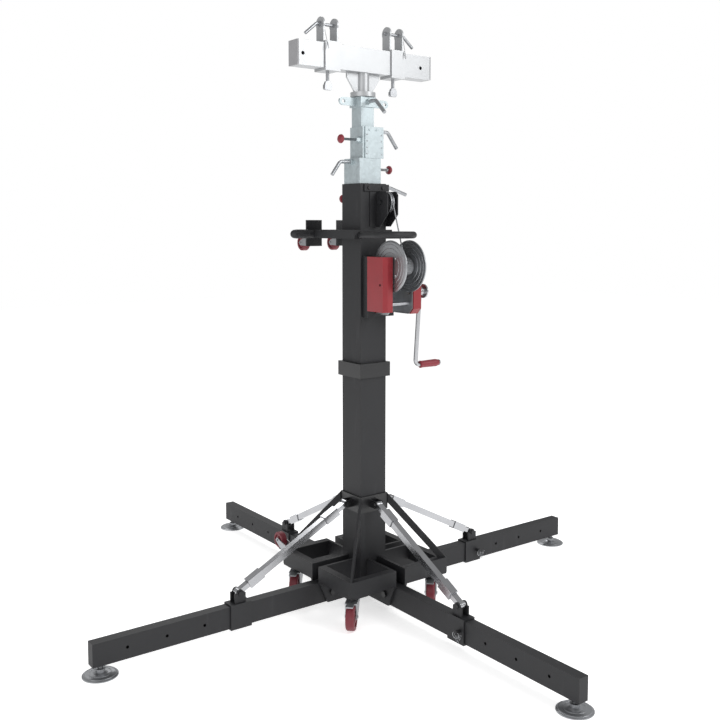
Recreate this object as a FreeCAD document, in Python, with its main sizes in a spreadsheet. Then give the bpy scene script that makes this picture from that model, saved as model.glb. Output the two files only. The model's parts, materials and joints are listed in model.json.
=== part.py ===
import FreeCAD, Part
import math
import os
import re
import Sketcher
from FreeCAD import Placement, Rotation, Vector

# Crank lighting stand. Millimetres, +Z up, origin on the ground under the mast's axis.
# The winch is on the -Y side, and the four legs lie along +X, +Y, -X and -Y.

SIZES = {
    # fits
    "fit": 0.05,
    "slide_gap": 0.3,
    "side_gap": 0.5,
    # mast and sliding sections
    "mast_side": 120,
    "mast_wall": 4,
    "mast_low": 38,
    "mast_top": 1629,
    "second_side": 100,
    "third_side": 80,
    "fourth_side": 60,
    "section_wall": 3,
    "second_low": 82,
    "third_low": 92,
    "fourth_low": 102,
    "second_top": 1724,
    "third_top": 1842,
    "fourth_top": 1955,
    # legs
    "leg_wide": 40,
    "leg_high": 80,
    "leg_wall": 3,
    "leg_axis": 78,
    "leg_reach": 1110,
    "leg_cap": 6,
    "leg_hole": 5.5,
    "leg_hole_first": 566,
    "leg_hole_pitch": 141.5,
    "leg_slot_gap": 0.8,
    "pivot_out": 174,
    "pivot_inner": 45,
    "pivot_pin": 8,
    # feet
    "foot_out": 1078,
    "foot_disc": 59,
    "foot_spindle": 8,
    # leg collars and struts
    "collar_at": 565,
    "collar_long": 84,
    "collar_wall": 5,
    "collar_gap": 0.6,
    "lug_pin_high": 158,
    "lug_plate": 6,
    "lug_round": 14,
    "pin": 6,
    "strut_pin_out": 92,
    "strut_pin_high": 399,
    "strut_side": 25,
    "strut_wall": 2,
    "strut_sleeve": 32,
    "strut_end": 110,
    "strut_eye": 24,
    # base
    "base_half": 231,
    "base_top": 182,
    "base_low": 122,
    "base_tube": 30,
    "base_wall": 3,
    "cheek": 10,
    "cheek_foot": 194,
    "plate_at": 190,
    "plate_side": 80,
    "plate_thick": 5,
    "brace_thick": 8,
    "brace_foot": 324,
    # mast collars
    "low_collar_half": 66,
    "low_collar_low": 367,
    "low_collar_high": 430,
    "band_half": 72,
    "band_low": 892,
    "band_high": 947,
    # casters
    "caster_wheel": 50,
    "caster_wide": 32,
    "caster_trail": 40,
    "caster_axle_high": 53,
    "caster_axle": 5,
    "caster_fork": 4,
    "caster_gap": 2,
    "caster_heading": 225,
    # transport wheels
    "transport_wheel": 32,
    "transport_wide": 24,
    "transport_axle": 4,
    "upper_wheel_at": 73.5,
    "upper_wheel_back": 312,
    "upper_wheel_high": 1402,
    "lower_wheel_at": 195,
    "lower_wheel_back": 311,
    "lower_wheel_high": 190,
    # handles
    "rear_bar": 17,
    "rear_bar_half": 192,
    "rear_bar_back": 221,
    "bar_plate": 8,
    "handle_high": 1438,
    "rail_wide": 30,
    "rail_high": 34,
    "loop_tube": 13,
    "loop_left": 62,
    "loop_right": 100,
    "loop_front": 215,
    "loop_bend": 60,
    # pulley
    "cable_at": 38,
    "cable": 2.5,
    "sheave": 38,
    "sheave_outer": 41.5,
    "sheave_wide": 14,
    "sheave_forward": 90,
    "sheave_high": 1557,
    "housing_low": 1467,
    "housing_high": 1598,
    "housing_front": 130,
    "housing_plate": 4,
    "housing_half": 26,
    "guide_thick": 6,
    # winch
    "bracket_deep": 10,
    "bracket_low": 1124,
    "bracket_high": 1361,
    "drum_forward": 174,
    "drum_high": 1319,
    "drum_flange": 97,
    "drum_core": 30.2,
    "drum_half": 48,
    "drum_shaft": 8,
    "winch_plate": 4,
    "winch_half": 53,
    "winch_low": 1138,
    "winch_high": 1350,
    "winch_front": 186,
    "cover_left": 55,
    "cover_back": 94,
    "cover_low": 1151,
    "cover_high": 1355,
    "cover_front": 198,
    "cover_sheet": 2.5,
    "cover_right_wide": 37,
    "crank_forward": 167,
    "crank_high": 1222,
    "crank_shaft": 9,
    "crank_rod": 8.5,
    "crank_bend": 20,
    "crank_arm_at": 140,
    "crank_bottom": 936,
    "crank_bottom_forward": 143,
    "grip": 14.5,
    "grip_from": 161,
    "grip_to": 255,
    # clamp levers and lock knobs
    "lever": 7,
    "boss": 10,
    "knob": 17,
    "knob_shaft": 5,
    "nut": 12,
    # head
    "head_flange": 48,
    "spigot": 24,
    "beam_high": 90,
    "beam_wide": 60,
    "beam_wall": 4,
    "beam_half": 305,
    "beam_low": 2044,
    "beam_cap": 6,
    "beam_hole": 7,
    "beam_hole_left": 288,
    "beam_hole_right": 259,
    "sleeve_long": 66,
    "sleeve_wall": 6.5,
    "sleeve_left": 162,
    "sleeve_right": 144,
    "ear_thick": 6,
    "ear_half": 23,
    "ear_round": 26,
    "ear_pin_high": 2204,
    "guy_hole": 8,
    "truss_pin": 6,
    "wing_shank": 6,
}
QUARTERS = {"right": 0, "back": 90, "left": 180, "front": 270}
TURNS = {"x": Rotation(Vector(0, 1, 0), 90), "y": Rotation(Vector(1, 0, 0), -90), "z": Rotation()}

doc = FreeCAD.newDocument("crank_lighting_stand")
sheet = doc.addObject("Spreadsheet::Sheet", "Sizes")
for row, (alias, number) in enumerate(SIZES.items(), start=1):
    sheet.set("A%d" % row, alias)
    sheet.set("B%d" % row, str(number))
    sheet.setAlias("B%d" % row, alias)
doc.recompute()
subparts = []


def size(alias):
    """The number that the sheet holds under an alias."""
    return float(sheet.get(alias))


def bound(text):
    """An expression in which each alias is read from the sheet."""
    return re.sub(r"[a-z][a-z0-9_]*", lambda word: "Sizes." + word[0] if word[0] in SIZES else word[0], str(text))


def bind(made, path, text):
    made.setExpression(path, bound(text))


def locate(made, x, y, z):
    for axis, text in zip("xyz", (x, y, z)):
        bind(made, "Placement.Base." + axis, text)


# --- solids -------------------------------------------------------------------------------


def block(name, x, y, z):
    """A box between a low and a high expression along each axis."""
    made = doc.addObject("Part::Box", name)
    for length, (low, high) in zip(("Length", "Width", "Height"), (x, y, z)):
        bind(made, length, "(%s) - (%s)" % (high, low))
    locate(made, x[0], y[0], z[0])
    return made


def start_point(axis, across, low):
    """The start of a bar along an axis; across holds its other two coordinates in X, Y, Z order."""
    place = list(across)
    place.insert("xyz".index(axis), low)
    return place


def bar(name, axis, radius, across, low, high):
    """A round bar along an axis, from low to high."""
    made = doc.addObject("Part::Cylinder", name)
    made.Placement = Placement(Vector(), TURNS[axis])
    bind(made, "Radius", radius)
    bind(made, "Height", "(%s) - (%s)" % (high, low))
    locate(made, *start_point(axis, across, low))
    return made


def hexagon(name, axis, radius, across, low, high):
    """A bolt head or nut along an axis."""
    made = doc.addObject("Part::Prism", name)
    made.Placement = Placement(Vector(), TURNS[axis])
    made.Polygon = 6
    bind(made, "Circumradius", radius)
    bind(made, "Height", "(%s) - (%s)" % (high, low))
    locate(made, *start_point(axis, across, low))
    return made


def fuse(name, *pieces):
    made = doc.addObject("Part::MultiFuse", name)
    made.Shapes = list(pieces)
    return made


def cut(name, base, *tools):
    made = doc.addObject("Part::Cut", name)
    made.Base = base
    made.Tool = tools[0] if len(tools) == 1 else group(name + "_tools", *tools)
    return made


def group(name, *pieces):
    """Separate solids that lie face to face in one sub-part."""
    made = doc.addObject("Part::Compound", name)
    made.Links = list(pieces)
    return made


def sketch(body, role, points):
    """A closed outline on one of the body's own origin planes, each corner bound to the sheet."""
    plane = next(item for item in body.Origin.OriginFeatures if item.Role == role)
    drawn = body.newObject("Sketcher::SketchObject", body.Name + "_sketch")
    drawn.AttachmentSupport = (plane, [""])
    drawn.MapMode = "FlatFace"
    count = len(points)
    ring = [2 * math.pi * corner / count for corner in range(count)]
    corners = [Vector(math.cos(angle), math.sin(angle), 0) for angle in ring]
    for corner in range(count):
        drawn.addGeometry(Part.LineSegment(corners[corner], corners[(corner + 1) % count]), False)
    for corner in range(count):
        drawn.addConstraint(Sketcher.Constraint("Coincident", corner, 2, (corner + 1) % count, 1))
    for corner, point in enumerate(points):
        for kind, text in zip(("DistanceX", "DistanceY"), point):
            number = drawn.addConstraint(Sketcher.Constraint(kind, -1, 1, corner, 1, 1.0))
            drawn.setExpression("Constraints[%d]" % number, bound(text))
    return drawn


def plate(name, axis, points, low, high):
    """An outline across an axis, padded from low to high along it."""
    body = doc.addObject("PartDesign::Body", name)
    drawn = sketch(body, {"x": "YZ_Plane", "y": "XZ_Plane", "z": "XY_Plane"}[axis], points)
    bind(drawn, "AttachmentOffset.Base.z", "-(%s)" % high if axis == "y" else low)
    pad = body.newObject("PartDesign::Pad", name + "_pad")
    pad.Profile = drawn
    bind(pad, "Length", "(%s) - (%s)" % (high, low))
    return body


def turning(name, axis, points, across, low):
    """A turned piece: (radius, distance along the axis) corners, from low along the axis."""
    body = doc.addObject("PartDesign::Body", name)
    drawn = sketch(body, "XZ_Plane", points)
    turned = body.newObject("PartDesign::Revolution", name + "_turn")
    turned.Profile = drawn
    turned.ReferenceAxis = (drawn, ["V_Axis"])
    turned.Angle = 360
    body.Placement = Placement(Vector(), TURNS[axis])
    locate(body, *start_point(axis, across, low))
    return body


def route(points, bend):
    """Straight runs joined by tangent arcs of one radius."""
    edges = []
    start = points[0]
    for before, corner, after in zip(points, points[1:], points[2:]):
        back = (before - corner).normalize()
        ahead = (after - corner).normalize()
        half = back.getAngle(ahead) / 2
        reach = bend / math.tan(half)
        middle = (back + ahead).normalize()
        first = corner + back * reach
        last = corner + ahead * reach
        top = corner + middle * (bend / math.sin(half) - bend)
        edges.append(Part.LineSegment(start, first).toShape())
        edges.append(Part.Arc(first, top, last).toShape())
        start = last
    edges.append(Part.LineSegment(start, points[-1]).toShape())
    return Part.Wire(edges)


def swept(name, wire, radius):
    """A round section carried along a wire."""
    edge = wire.Edges[0]
    start = edge.valueAt(edge.FirstParameter)
    along = edge.tangentAt(edge.FirstParameter)
    ring = Part.Wire([Part.Circle(start, along, radius).toShape()])
    made = doc.addObject("Part::Feature", name)
    made.Shape = wire.makePipeShell([ring], True, False)
    return made


def bent(name, points, bend, radius):
    return swept(name, route([Vector(*point) for point in points], bend), radius)


def subpart(label, made):
    """Keeps a finished object as a sub-part under its own label."""
    made.Label = label
    subparts.append(made)
    return made


def turned(label, master, angle, where=(0, 0, 0)):
    """One of several like sub-parts, turned about Z."""
    made = doc.addObject("Part::Compound", "placed_" + label)
    made.Links = [master]
    made.Placement = Placement(Vector(*where), Rotation(Vector(0, 0, 1), angle))
    return subpart(label, made)


def quarter_turned(name, master, offset=0):
    """Four copies about the mast's axis, joined in one compound."""
    made = []
    for side, angle in QUARTERS.items():
        copy = doc.addObject("Part::Compound", "%s_%s" % (name, side))
        copy.Links = [master]
        copy.Placement = Placement(Vector(), Rotation(Vector(0, 0, 1), angle + offset))
        made.append(copy)
    return made


def square_tube(name, x, y, side, wall, low, high):
    """A square tube along Z round (x, y)."""
    half = "(%s) / 2" % side
    inner = "((%s) / 2 - %s)" % (side, wall)
    outside = block(name + "_outside", ("%s - %s" % (x, half), "%s + %s" % (x, half)),
                    ("%s - %s" % (y, half), "%s + %s" % (y, half)), (low, high))
    inside = block(name + "_inside", ("%s - %s" % (x, inner), "%s + %s" % (x, inner)),
                   ("%s - %s" % (y, inner), "%s + %s" % (y, inner)), ("%s - 1" % low, "%s + 1" % high))
    return cut(name, outside, inside)


# Each section leans on one wall of the section round it, a slide gap away.
SECOND_X = "(-(mast_side / 2 - mast_wall - second_side / 2 - slide_gap))"
SECOND_Y = "(2.7)"
THIRD_X = "(%s + second_side / 2 - section_wall - third_side / 2 - slide_gap)" % SECOND_X
THIRD_Y = "(%s - second_side / 2 + section_wall + third_side / 2 + slide_gap)" % SECOND_Y
FOURTH_X = "(%s - third_side / 2 + section_wall + fourth_side / 2 + slide_gap)" % THIRD_X
FOURTH_Y = "(0)"


# --- mast ---------------------------------------------------------------------------------


def boss_and_hole(name, axis, across, wall, out, radius, boss_radius):
    """A boss that stands on a tube wall, and the hole through both. wall is (inner, outer)."""
    inner, outer = wall
    low, high = (outer, "%s + %s" % (outer, out)) if not out.startswith("-") else ("%s %s" % (outer, out), outer)
    boss = hexagon(name, axis, boss_radius, across, low, high)
    ends = (inner, high) if not out.startswith("-") else (low, inner)
    hole = bar(name + "_hole", axis, radius, across, "%s - 2" % ends[0], "%s + 2" % ends[1])
    return boss, hole


def outer_mast():
    half = "mast_side / 2"
    tube = square_tube("mast_tube", "0", "0", "mast_side", "mast_wall", "mast_low", "mast_top")
    lever_boss, lever_hole = boss_and_hole("mast_lever_boss", "x", ("0", "mast_top - 13"),
                                           (half + " - mast_wall", half), "12", "lever + fit", "boss + 1")
    knob_nut, knob_hole = boss_and_hole("mast_knob_nut", "y", ("0", "mast_top - 53"),
                                        (half + " - mast_wall", half), "20", "knob_shaft + fit", "nut")
    slot = block("mast_slot", ("cable_at - sheave_wide / 2 - 2", "cable_at + sheave_wide / 2 + 2"),
                 ("-" + half + " - 1", "-" + half + " + mast_wall + 1"), ("sheave_high - 37", "sheave_high + 37"))
    whole = fuse("mast_whole", tube, lever_boss, knob_nut)
    subpart("outer_mast", cut("outer_mast", whole, lever_hole, knob_hole, slot))


def sections():
    second = square_tube("second_tube", SECOND_X, SECOND_Y, "second_side", "section_wall",
                         "second_low", "second_top")
    left = "%s - second_side / 2" % SECOND_X
    right = "%s + second_side / 2" % SECOND_X
    boss, boss_hole = boss_and_hole("second_lever_boss", "x", ("0", "second_top - 14"),
                                    (left + " + section_wall", left), "- 12", "lever + fit", "boss + 1")
    nut, nut_hole = boss_and_hole("second_knob_nut", "x", ("0", "second_top - 38"),
                                  (right + " - section_wall", right), "20", "knob_shaft + fit", "nut")
    subpart("section_2", cut("section_2", fuse("second_whole", second, boss, nut), boss_hole, nut_hole))

    third = square_tube("third_tube", THIRD_X, THIRD_Y, "third_side", "section_wall", "third_low", "third_top")
    left = "%s - third_side / 2" % THIRD_X
    right = "%s + third_side / 2" % THIRD_X
    boss, boss_hole = boss_and_hole("third_lever_boss", "x", ("0", "third_top - 12"),
                                    (right + " - section_wall", right), "12", "lever + fit", "boss + 1")
    nut, nut_hole = boss_and_hole("third_knob_nut", "x", ("-26", "third_top - 50"),
                                  (left + " + section_wall", left), "- 20", "knob_shaft + fit", "nut")
    face = "%s - third_side / 2" % THIRD_Y
    guide = block("third_guide", ("-30", "56"), (face + " - 5", face), ("second_top + slide_gap", "third_top"))
    heads = [bar("third_screw_%d" % place, "y", "4", (x, "third_top - 12"), face + " - 8", face + " - 5")
             for place, x in enumerate(("-10", "24"))]
    whole = fuse("third_whole", third, boss, nut, guide, *heads)
    subpart("section_3", cut("section_3", whole, boss_hole, nut_hole))


def section_4():
    tube = square_tube("fourth_tube", FOURTH_X, FOURTH_Y, "fourth_side", "section_wall", "fourth_low", "fourth_top")
    collar = block("fourth_collar", (FOURTH_X + " - 36", FOURTH_X + " + 36"), ("-36", "36"), ("1916", "1953"))
    inside = "fourth_side / 2 - 1"
    clear = block("fourth_clear", ("%s - (%s)" % (FOURTH_X, inside), "%s + %s" % (FOURTH_X, inside)),
                  ("-(%s)" % inside, inside), ("1910", "1960"))
    ring = cut("fourth_ring", collar, clear)
    plug_half = "fourth_side / 2 - section_wall"
    plug = block("fourth_plug", ("%s - (%s)" % (FOURTH_X, plug_half), "%s + %s" % (FOURTH_X, plug_half)),
                 ("-(%s)" % plug_half, plug_half), ("fourth_top - 45", "fourth_top"))
    boss = hexagon("fourth_lever_boss", "y", "boss + 1", (FOURTH_X, "1936"), "-48", "-36")
    pieces = [tube, ring, plug, boss]
    tools = [bar("fourth_bore", "z", "spigot + fit", (FOURTH_X, "0"), "fourth_top - 46", "fourth_top + 1"),
             bar("fourth_lever_hole", "y", "lever + fit", (FOURTH_X, "1936"), "-50", "-22")]
    for side, end, hole in ((-1, "-101", "-98"), (1, "98", "96")):
        root = "%s %s 35" % (FOURTH_X, "-" if side < 0 else "+")
        low, high = (end, root) if side < 0 else (root, end)
        pieces.append(block("fourth_ear_%d" % (side + 1), (low, high), ("-4", "4"), ("1920", "1950")))
        pieces.append(bar("fourth_ear_end_%d" % (side + 1), "y", "15", (end, "1935"), "-4", "4"))
        tools.append(bar("fourth_ear_hole_%d" % (side + 1), "y", "guy_hole", (hole, "1935"), "-5", "5"))
    subpart("section_4", cut("section_4", fuse("fourth_whole", *pieces), *tools))


def collars():
    """The lower collar with its four pairs of strut lugs, and the band half way up."""
    half = "mast_side / 2"
    rings = []
    for name, outer, low, high in (("low_collar", "low_collar_half", "low_collar_low", "low_collar_high"),
                                   ("band", "band_half", "band_low", "band_high")):
        outside = block(name + "_outside", ("-" + outer, outer), ("-" + outer, outer), (low, high))
        inside = block(name + "_inside", ("-" + half, half), ("-" + half, half), (low + " - 1", high + " + 1"))
        rings.append(cut(name + "_ring", outside, inside))
    lugs = []
    for side, (low, high) in enumerate((("strut_eye / 2 + side_gap", "strut_eye / 2 + side_gap + lug_plate - 1"),
                                        ("-(strut_eye / 2 + side_gap + lug_plate - 1)",
                                         "-(strut_eye / 2 + side_gap)"))):
        tongue = block("lug_tongue_%d" % side, ("low_collar_half", "strut_pin_out"), (low, high),
                       ("strut_pin_high - lug_round", "strut_pin_high + lug_round"))
        tip = bar("lug_tip_%d" % side, "y", "lug_round", ("strut_pin_out", "strut_pin_high"), low, high)
        lugs += [tongue, tip]
    hole = bar("lug_hole", "y", "pin + fit", ("strut_pin_out", "strut_pin_high"), "-30", "30")
    lug_pair = cut("lug_pair", fuse("lug_solid", *lugs), hole)
    low_collar = fuse("low_collar", rings[0], *quarter_turned("lugs", lug_pair))
    subpart("mast_collars", group("mast_collars", low_collar, rings[1]))


def base():
    """Four open corner boxes round the leg slots, each of two tubes and two cheek plates."""
    slot = "leg_wide / 2 + leg_slot_gap"
    near = "(%s + cheek)" % slot
    inner = "base_half - base_tube"
    heights = ("base_low", "base_top")
    skin = "base_half - base_wall"
    core = "base_half - base_tube + base_wall"
    inside = ("base_low + base_wall", "base_top - base_wall")
    long_tube = cut("long_tube", block("long_outside", (inner, "base_half"), (near, "base_half"), heights),
                    block("long_inside", (core, skin), (near + " - 1", skin), inside))
    short_tube = cut("short_tube", block("short_outside", (near, inner), (inner, "base_half"), heights),
                     block("short_inside", (near + " - 1", inner + " + 1"), (core, skin), inside))
    cheeks = []
    for side, (low, high) in enumerate(((slot, near), ("-" + near, "-(%s)" % slot))):
        outline = [("mast_side / 2", "base_top"), ("base_half", "base_top"), ("base_half", "base_low - 4"),
                   ("cheek_foot", "mast_low"), ("mast_side / 2", "mast_low")]
        solid = plate("cheek_plate_%d" % side, "y", outline, low, high)
        hole = bar("cheek_hole_%d" % side, "y", "pivot_pin + fit", ("pivot_out", "leg_axis"), "-60", "60")
        cheeks.append(cut("cheek_%d" % side, solid, hole))
    reach = ("plate_at - plate_side / 2", "plate_at + plate_side / 2")
    caster_plate = block("caster_plate", reach, reach, ("base_low - plate_thick", "base_low"))
    quarter = group("base_quarter", long_tube, short_tube, caster_plate, *cheeks)
    subpart("base_frame", group("base_frame", *quarter_turned("base", quarter)))


def braces():
    """Flat bars from the lower collar's corners down to the corner boxes."""
    near = "low_collar_half * 1.41421356 + slide_gap"
    outline = [(near, "low_collar_high - 4"), (near, "low_collar_high - 40"), ("brace_foot - 34", "base_top"),
               ("brace_foot", "base_top")]
    brace = plate("brace", "y", outline, "-brace_thick / 2", "brace_thick / 2")
    subpart("diagonal_braces", group("diagonal_braces", *quarter_turned("brace", brace, 45)))


def fasteners():
    """Leg pivot bolts, the pins at the struts' upper ends and the guide plate's screws."""
    face = "leg_wide / 2 + leg_slot_gap + cheek"
    lug = "strut_eye / 2 + side_gap + lug_plate - 1"
    made = []
    for name, radius, across, half, head in (
            ("pivot_bolt", "pivot_pin", ("pivot_out", "leg_axis"), face, "8"),
            ("strut_bolt", "pin", ("strut_pin_out", "strut_pin_high"), lug, "5")):
        shank = bar(name + "_shank", "y", radius, across, "-(%s)" % half, half)
        near = hexagon(name + "_near", "y", radius + " * 1.6", across, "-(%s) - %s" % (half, head), "-(%s)" % half)
        far = hexagon(name + "_far", "y", radius + " * 1.6", across, half, "%s + %s" % (half, head))
        made += quarter_turned(name, fuse(name, shank, near, far))
    face = "-mast_side / 2 - guide_thick"
    made += [hexagon("guide_screw_%d" % place, "y", "7", (x, "mast_top - 16"), face + " - 4", face)
             for place, x in enumerate(("-26", "40"))]
    subpart("mast_fasteners", group("mast_fasteners", *made))


# --- legs, struts and feet ----------------------------------------------------------------


def leg():
    half_wide = "leg_wide / 2"
    low = "leg_axis - leg_high / 2"
    high = "leg_axis + leg_high / 2"
    start = "pivot_out - pivot_inner"
    end = "leg_reach - leg_cap"
    outside = block("leg_outside", (start, end), ("-" + half_wide, half_wide), (low, high))
    inside = block("leg_inside", (start + " - 1", end + " + 1"), ("-leg_wide / 2 + leg_wall", half_wide + " - leg_wall"),
                   (low + " + leg_wall", high + " - leg_wall"))
    holes = [bar("leg_hole_%d" % place, "y", "leg_hole",
                 ("leg_hole_first + leg_hole_pitch * %d" % place, "leg_axis"), "-50", "50") for place in range(4)]
    pivot = bar("leg_pivot_hole", "y", "pivot_pin + fit", ("pivot_out", "leg_axis"), "-50", "50")
    spindle = bar("leg_spindle_hole", "z", "foot_spindle + fit", ("foot_out", "0"), low + " - 1", low + " + 10")
    tube = cut("leg_tube", outside, inside, pivot, spindle, *holes)
    cap = block("leg_cap_block", (end, "leg_reach"), ("-" + half_wide, half_wide), (low, high))
    return group("leg_master", tube, cap)


def leg_collar():
    """A sleeve that slides on the leg, with an open fork for the strut and a locking pin."""
    inner = "leg_wide / 2 + collar_gap"
    outer = inner + " + collar_wall"
    low = "leg_axis - leg_high / 2 - collar_gap"
    high = "leg_axis + leg_high / 2 + collar_gap"
    start = "collar_at - collar_long / 2"
    end = "collar_at + collar_long / 2"
    outside = block("collar_outside", (start, end), ("-(%s)" % outer, outer),
                    (low + " - collar_wall", high + " + collar_wall"))
    inside = block("collar_inside", (start + " - 1", end + " + 1"), ("-(%s)" % inner, inner), (low, high))
    sleeve = cut("collar_sleeve", outside, inside)
    top = high + " + collar_wall"
    face = "strut_eye / 2 + side_gap"
    forks = []
    for side in (-1, 1):
        name = "collar_fork_%d" % (side + 1)
        spans = (face, face + " + lug_plate") if side > 0 else ("-(%s + lug_plate)" % face, "-(%s)" % face)
        ends = (spans[1], spans[1] + " + 5") if side > 0 else (spans[0] + " - 5", spans[0])
        forks.append(block(name, ("collar_at - 22", "collar_at + 22"), spans, (top + " - 1", "lug_pin_high")))
        forks.append(bar(name + "_round", "y", "lug_round", ("collar_at", "lug_pin_high"), *spans))
        forks.append(hexagon(name + "_bolt", "y", "9", ("collar_at", "lug_pin_high"), *ends))
    pull = bar("collar_pull", "y", "6", ("collar_at + 20", "leg_axis"), "-(%s) - 14" % outer, "-(%s) + 1" % outer)
    head = bar("collar_pull_head", "y", "9", ("collar_at + 20", "leg_axis"), "-(%s) - 20" % outer, "-(%s) - 14" % outer)
    return fuse("collar_master", sleeve, pull, head, *forks)


def strut():
    """A square tube with a sleeve and an eye at each end, along X from the upper pin."""
    run = size("collar_at") - size("strut_pin_out")
    drop = size("strut_pin_high") - size("lug_pin_high")
    length = "sqrt((collar_at - strut_pin_out)^2 + (strut_pin_high - lug_pin_high)^2)"
    half = "strut_side / 2"
    inner = "strut_side / 2 - strut_wall"
    ends = ("strut_end", length + " - strut_end")
    outside = block("strut_outside", ends, ("-" + half, half), ("-" + half, half))
    inside = block("strut_inside", ("strut_end - 1", length + " - strut_end + 1"),
                   ("-(%s)" % inner, inner), ("-(%s)" % inner, inner))
    tube = cut("strut_tube", outside, inside)
    pieces = [tube]
    for place, (start, sign) in enumerate((("0", "+"), (length, "-"))):
        name = "strut_end_%d" % place
        neck = [start, "%s %s 50" % (start, sign)]
        sleeve = ["%s %s 46" % (start, sign), "%s %s strut_end" % (start, sign)]
        if sign == "-":
            neck.reverse()
            sleeve.reverse()
        eye = bar(name + "_eye", "y", "lug_round - 1", (start, "0"), "-strut_eye / 2", "strut_eye / 2")
        shank = block(name + "_neck", neck, ("-strut_eye / 2", "strut_eye / 2"), ("-9", "9"))
        cuff = block(name + "_cuff", sleeve, ("-strut_sleeve / 2", "strut_sleeve / 2"),
                     ("-strut_sleeve / 2", "strut_sleeve / 2"))
        hole = bar(name + "_hole", "y", "pin + fit", (start, "0"), "-40", "40")
        pieces.append(cut(name, fuse(name + "_solid", eye, shank, cuff), hole))
    whole = group("strut_whole", *pieces)
    tilt = math.degrees(math.atan2(drop, run))
    whole.Placement = Placement(Vector(size("strut_pin_out"), 0, size("strut_pin_high")),
                                Rotation(Vector(0, 1, 0), tilt))
    return whole


def foot():
    outline = [("0", "0"), ("foot_disc", "0"), ("foot_disc", "3"), ("foot_disc - 10", "7"), ("24", "10"),
               ("16", "14"), ("16", "24"), ("foot_spindle", "24"), ("foot_spindle", "leg_axis"), ("0", "leg_axis")]
    return turning("foot_master", "z", outline, ("foot_out", "0"), "0")


def legs():
    masters = {"leg": leg(), "leg_collar": leg_collar(), "strut": strut(), "foot": foot()}
    for kind, master in masters.items():
        for side, angle in QUARTERS.items():
            turned("%s_%s" % (kind, side), master, angle)


# --- wheels -------------------------------------------------------------------------------


def wheel(name, axis, radius, wide, bore, across, low):
    """A tyred wheel with shallow dished faces and a bore."""
    outline = [(bore, "0"), (radius + " * 0.42", "0"), (radius + " * 0.42", wide + " * 0.14"),
               (radius + " * 0.72", wide + " * 0.14"), (radius + " * 0.72", "0"), (radius + " * 0.94", "0"),
               (radius, wide + " * 0.12"), (radius, wide + " * 0.88"), (radius + " * 0.94", wide),
               (radius + " * 0.72", wide), (radius + " * 0.72", wide + " * 0.86"),
               (radius + " * 0.42", wide + " * 0.86"), (radius + " * 0.42", wide), (bore, wide)]
    return turning(name, axis, outline, across, low)


def casters():
    """Swivel casters with a brake pedal, all trailing the same way."""
    top = "base_low - plate_thick"
    crown = "caster_axle_high + caster_wheel + caster_gap"
    inner = "caster_wide / 2 + caster_gap"
    across = ("caster_trail", "caster_axle_high")
    pieces = [bar("caster_race", "z", "24", ("0", "0"), crown + " + caster_fork - 1", top),
              block("caster_crown", ("-24", "62"), ("-(%s + caster_fork)" % inner, inner + " + caster_fork"),
                    (crown, crown + " + caster_fork")),
              block("caster_pedal", ("61", "98"), ("-14", "14"), (crown + " + 2", crown + " + 6")),
              bar("caster_axle_bar", "y", "caster_axle", across, "-(%s) - caster_fork - 3" % inner,
                  inner + " + caster_fork + 3")]
    for side in (-1, 1):
        span = (inner, inner + " + caster_fork") if side > 0 else ("-(%s + caster_fork)" % inner, "-(%s)" % inner)
        outline = [("-20", crown), ("56", crown), ("caster_trail + 10", "caster_axle_high - 8"),
                   ("caster_trail - 10", "caster_axle_high - 8")]
        pieces.append(plate("caster_arm_%d" % (side + 1), "y", outline, *span))
    fork = fuse("caster_fork_master", *pieces)
    roller = wheel("caster_wheel_master", "y", "caster_wheel", "caster_wide", "caster_axle + fit", across,
                   "-caster_wide / 2")
    at = size("plate_at")
    for number, (x, y) in enumerate(((at, at), (-at, at), (-at, -at), (at, -at)), start=1):
        turned("caster_fork_%d" % number, fork, size("caster_heading"), (x, y, 0))
        turned("caster_wheel_%d" % number, roller, size("caster_heading"), (x, y, 0))


def transport_wheels():
    """Two pairs of small wheels behind the stand, for rolling it on its back."""
    forks = []
    for pair, at, back, high, wall, plate_low, plate_high in (
            ("upper", "upper_wheel_at", "upper_wheel_back", "upper_wheel_high",
             "rear_bar_back + rear_bar + bar_plate / 2", "upper_wheel_high - 13", "upper_wheel_high + 31"),
            ("lower", "lower_wheel_at", "lower_wheel_back", "lower_wheel_high", "base_half",
             "base_low + 12", "base_top - 2")):
        rollers = []
        for sign in ("-", ""):
            centre = sign + at
            tag = "%s_%s" % (pair, "left" if sign else "right")
            backing = block(tag + "_backing", (centre + " - 20", centre + " + 20"), (wall, wall + " + 4"),
                            (plate_low, plate_high))
            axle = bar(tag + "_axle", "x", "transport_axle", (back, high),
                       centre + " - transport_wide / 2 - 8", centre + " + transport_wide / 2 + 8")
            arms = []
            outline = [(wall + " + 3", plate_low), (wall + " + 3", plate_low + " + 44"), (back, high + " + 11"),
                       (back + " + 11", high), (back, high + " - 11")]
            for side, span in enumerate(((centre + " - transport_wide / 2 - 5", centre + " - transport_wide / 2 - 2"),
                                         (centre + " + transport_wide / 2 + 2",
                                          centre + " + transport_wide / 2 + 5"))):
                arms.append(plate("%s_arm_%d" % (tag, side), "x", outline, *span))
            forks.append(fuse(tag + "_fork", backing, axle, *arms))
            rollers.append(wheel(tag + "_roller", "x", "transport_wheel", "transport_wide", "transport_axle + fit",
                                 (back, high), centre + " - transport_wide / 2"))
        subpart(pair + "_transport_wheels", group(pair + "_transport_wheels", *rollers))
    subpart("transport_forks", group("transport_forks", *forks))


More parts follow.
